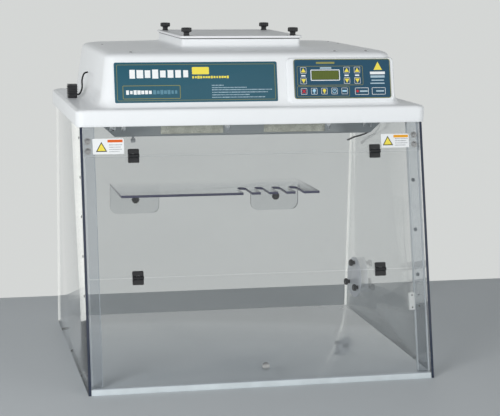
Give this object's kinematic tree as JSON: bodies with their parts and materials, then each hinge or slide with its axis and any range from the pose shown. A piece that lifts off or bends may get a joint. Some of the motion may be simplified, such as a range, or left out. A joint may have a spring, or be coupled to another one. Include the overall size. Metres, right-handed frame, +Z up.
{
  "type": "benchtop PCR workstation",
  "caption": "Clear benchtop cabinet with a slanted bi-fold front, a blower and filter head above it, a hanging shelf and a sloping keypad.",
  "frame": {"origin": "centre of the overall footprint, on the surface the cabinet stands on", "axes": "+X to the user's right along the longest side, -Y towards the user, +Z up"},
  "size_m": [0.812, 0.6646, 0.7829],
  "materials": {
    "clear_panel": "clear polished polycarbonate",
    "floor_panel": "glossy light grey acrylic",
    "white_shell": "moulded white plastic, satin",
    "white_plastic": "satin white plastic",
    "black_plastic": "moulded black nylon",
    "black_rubber": "matte black rubber",
    "bright_metal": "polished steel",
    "sheet_metal": "brushed stainless sheet",
    "filter_pad": "woven polyester pad",
    "filter_media": "pleated glass-fibre paper",
    "lamp_glass": "quartz and coated glass tubes",
    "teal_overlay": "printed polyester overlay",
    "display_glass": "olive-green display window",
    "circuit_board": "green circuit board",
    "red_key": "printed key dome",
    "white_key": "printed key dome",
    "yellow_key": "printed key dome"
  },
  "bodies": {
    "cabinet": {"base_panel": "floor_panel", "left_side_panel": "clear_panel", "right_side_panel": "clear_panel", "back_panel": "clear_panel", "front_fixed_panel": "clear_panel", "left_front_strip": "clear_panel", "right_front_strip": "clear_panel", "upper_left_hinge_top_leaf": "black_plastic", "upper_right_hinge_top_leaf": "black_plastic", "interlock_switch": "white_plastic", "shelf": "clear_panel", "port_cover": "white_plastic", "head_shell": "white_shell", "lid_gasket": "black_rubber", "prefilter": "filter_pad", "filter_frame": "sheet_metal", "front_filter_pad": "filter_media", "hepa_filter": "filter_media", "uv_lamp": "lamp_glass", "white_lamp": "lamp_glass", "blower_housing": "sheet_metal", "blower_motor": "sheet_metal", "power_inlet": "black_plastic", "flange_plug": "black_plastic", "plug_lead": "black_rubber", "interlock_lead": "black_rubber", "control_panel": "teal_overlay", "display": "display_glass", "controller_board": "circuit_board"},
    "upper_door": {"upper_door": "clear_panel", "upper_left_hinge_bottom_leaf": "black_plastic", "upper_right_hinge_bottom_leaf": "black_plastic", "middle_left_hinge_top_leaf": "black_plastic", "middle_right_hinge_top_leaf": "black_plastic"},
    "lower_door": {"lower_door": "clear_panel", "door_pull_knob": "bright_metal", "middle_left_hinge_bottom_leaf": "black_plastic", "middle_right_hinge_bottom_leaf": "black_plastic"},
    "filter_lid": {"filter_lid": "white_shell"},
    "lid_knob_front_left": {"lid_knob_front_left": "black_plastic"},
    "lid_knob_front_right": {"lid_knob_front_right": "black_plastic"},
    "lid_knob_back_left": {"lid_knob_back_left": "black_plastic"},
    "lid_knob_back_right": {"lid_knob_back_right": "black_plastic"},
    "left_shelf_knob": {"left_shelf_knob": "black_plastic"},
    "right_shelf_knob": {"right_shelf_knob": "black_plastic"},
    "port_knob_1": {"port_knob_1": "black_plastic"},
    "port_knob_2": {"port_knob_2": "black_plastic"},
    "port_knob_3": {"port_knob_3": "black_plastic"},
    "blower_wheel": {"blower_wheel": "sheet_metal"},
    "lamp_timer_up_key": {"lamp_timer_up_key": "yellow_key"},
    "lamp_timer_down_key": {"lamp_timer_down_key": "yellow_key"},
    "menu_up_key": {"menu_up_key": "yellow_key"},
    "menu_down_key": {"menu_down_key": "yellow_key"},
    "fan_speed_up_key": {"fan_speed_up_key": "yellow_key"},
    "fan_speed_down_key": {"fan_speed_down_key": "yellow_key"},
    "power_key": {"power_key": "red_key"},
    "uv_lamp_key": {"uv_lamp_key": "white_key"},
    "white_lamp_key": {"white_lamp_key": "yellow_key"},
    "fan_key": {"fan_key": "white_key"},
    "reset_key": {"reset_key": "white_key"}
  },
  "joints": [
    {"name": "upper_door_swing", "type": "hinge", "parent": "cabinet", "child": "upper_door", "pos_m": [0, -0.20839, 0.50979], "axis": [-1, 0, 0], "range_deg": [0, 100]},
    {"name": "lower_door_fold", "type": "hinge", "parent": "upper_door", "child": "lower_door", "pos_m": [0, -0.27345, 0.24724], "axis": [-1, 0, 0], "range_deg": [0, 174]},
    {"name": "lid_lift", "type": "slide", "parent": "cabinet", "child": "filter_lid", "axis": [0, 0, 1], "range_m": [0, 0.06]},
    {"name": "lid_knob_front_left_turn", "type": "hinge", "parent": "filter_lid", "child": "lid_knob_front_left", "pos_m": [-0.128, -0.03567, 0.7729], "axis": [0, 0, 1], "continuous": true},
    {"name": "lid_knob_front_right_turn", "type": "hinge", "parent": "filter_lid", "child": "lid_knob_front_right", "pos_m": [0.128, -0.03567, 0.7729], "axis": [0, 0, 1], "continuous": true},
    {"name": "lid_knob_back_left_turn", "type": "hinge", "parent": "filter_lid", "child": "lid_knob_back_left", "pos_m": [-0.128, 0.23233, 0.7729], "axis": [0, 0, 1], "continuous": true},
    {"name": "lid_knob_back_right_turn", "type": "hinge", "parent": "filter_lid", "child": "lid_knob_back_right", "pos_m": [0.128, 0.23233, 0.7729], "axis": [0, 0, 1], "continuous": true},
    {"name": "left_shelf_knob_turn", "type": "hinge", "parent": "cabinet", "child": "left_shelf_knob", "pos_m": [-0.195, 0.28613, 0.323], "axis": [0, -1, 0], "continuous": true},
    {"name": "right_shelf_knob_turn", "type": "hinge", "parent": "cabinet", "child": "right_shelf_knob", "pos_m": [0.183, 0.28613, 0.323], "axis": [0, -1, 0], "continuous": true},
    {"name": "port_knob_1_turn", "type": "hinge", "parent": "cabinet", "child": "port_knob_1", "pos_m": [0.38265, 0.22433, 0.147], "axis": [-1, 0, 0], "continuous": true},
    {"name": "port_knob_2_turn", "type": "hinge", "parent": "cabinet", "child": "port_knob_2", "pos_m": [0.38265, 0.18968, 0.087], "axis": [-1, 0, 0], "continuous": true},
    {"name": "port_knob_3_turn", "type": "hinge", "parent": "cabinet", "child": "port_knob_3", "pos_m": [0.38265, 0.25897, 0.087], "axis": [-1, 0, 0], "continuous": true},
    {"name": "blower_wheel_spin", "type": "hinge", "parent": "cabinet", "child": "blower_wheel", "pos_m": [0, 0.11033, 0.657], "axis": [0, 0, 1], "continuous": true},
    {"name": "lamp_timer_up_key_press", "type": "slide", "parent": "cabinet", "child": "lamp_timer_up_key", "axis": [0, 0.9706, -0.2405], "range_m": [0, 0.0005], "stiffness_N_per_m": 400},
    {"name": "lamp_timer_down_key_press", "type": "slide", "parent": "cabinet", "child": "lamp_timer_down_key", "axis": [0, 0.9706, -0.2405], "range_m": [0, 0.0005], "stiffness_N_per_m": 400},
    {"name": "menu_up_key_press", "type": "slide", "parent": "cabinet", "child": "menu_up_key", "axis": [0, 0.9706, -0.2405], "range_m": [0, 0.0005], "stiffness_N_per_m": 400},
    {"name": "menu_down_key_press", "type": "slide", "parent": "cabinet", "child": "menu_down_key", "axis": [0, 0.9706, -0.2405], "range_m": [0, 0.0005], "stiffness_N_per_m": 400},
    {"name": "fan_speed_up_key_press", "type": "slide", "parent": "cabinet", "child": "fan_speed_up_key", "axis": [0, 0.9706, -0.2405], "range_m": [0, 0.0005], "stiffness_N_per_m": 400},
    {"name": "fan_speed_down_key_press", "type": "slide", "parent": "cabinet", "child": "fan_speed_down_key", "axis": [0, 0.9706, -0.2405], "range_m": [0, 0.0005], "stiffness_N_per_m": 400},
    {"name": "power_key_press", "type": "slide", "parent": "cabinet", "child": "power_key", "axis": [0, 0.9706, -0.2405], "range_m": [0, 0.0005], "stiffness_N_per_m": 400},
    {"name": "uv_lamp_key_press", "type": "slide", "parent": "cabinet", "child": "uv_lamp_key", "axis": [0, 0.9706, -0.2405], "range_m": [0, 0.0005], "stiffness_N_per_m": 400},
    {"name": "white_lamp_key_press", "type": "slide", "parent": "cabinet", "child": "white_lamp_key", "axis": [0, 0.9706, -0.2405], "range_m": [0, 0.0005], "stiffness_N_per_m": 400},
    {"name": "fan_key_press", "type": "slide", "parent": "cabinet", "child": "fan_key", "axis": [0, 0.9706, -0.2405], "range_m": [0, 0.0005], "stiffness_N_per_m": 400},
    {"name": "reset_key_press", "type": "slide", "parent": "cabinet", "child": "reset_key", "axis": [0, 0.9706, -0.2405], "range_m": [0, 0.0005], "stiffness_N_per_m": 400}
  ]
}
